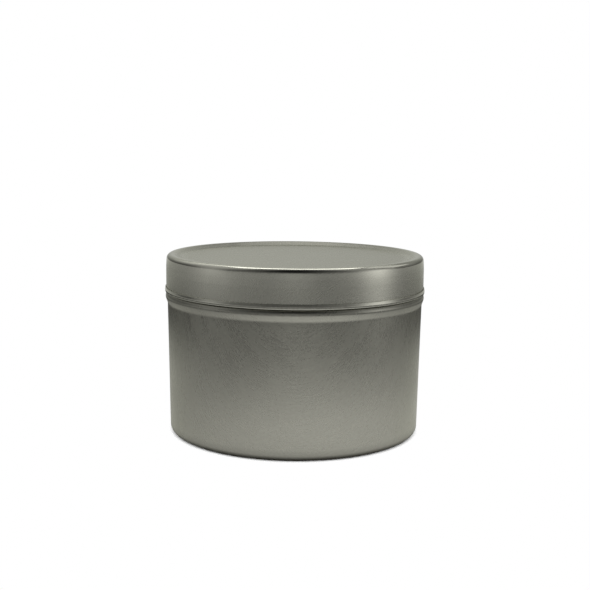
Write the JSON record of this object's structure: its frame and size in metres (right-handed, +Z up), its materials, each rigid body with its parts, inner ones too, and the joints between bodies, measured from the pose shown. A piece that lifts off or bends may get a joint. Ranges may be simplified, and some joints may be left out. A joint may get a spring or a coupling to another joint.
{
  "type": "candle tin",
  "caption": "Round seamless tinplate container with a recessed-top slip lid, for pouring candles, balms and small goods.",
  "frame": {"origin": "centre of the circle that the tin stands on", "axes": "+Z up along the tin's axis, from the base to the lid"},
  "size_m": [0.0778, 0.0778, 0.0532],
  "materials": {
    "body_tinplate": "satin tinplate, faint rolling grain drawn up the wall",
    "lid_tinplate": "satin tinplate, faint rolling grain across the panel"
  },
  "bodies": {
    "tin_body": {"tin_body": "body_tinplate"},
    "lid": {"lid": "lid_tinplate"}
  },
  "joints": [
    {"name": "lid_lift", "type": "slide", "parent": "tin_body", "child": "lid", "axis": [0, 0, 1], "range_m": [0, 0.06]}
  ]
}
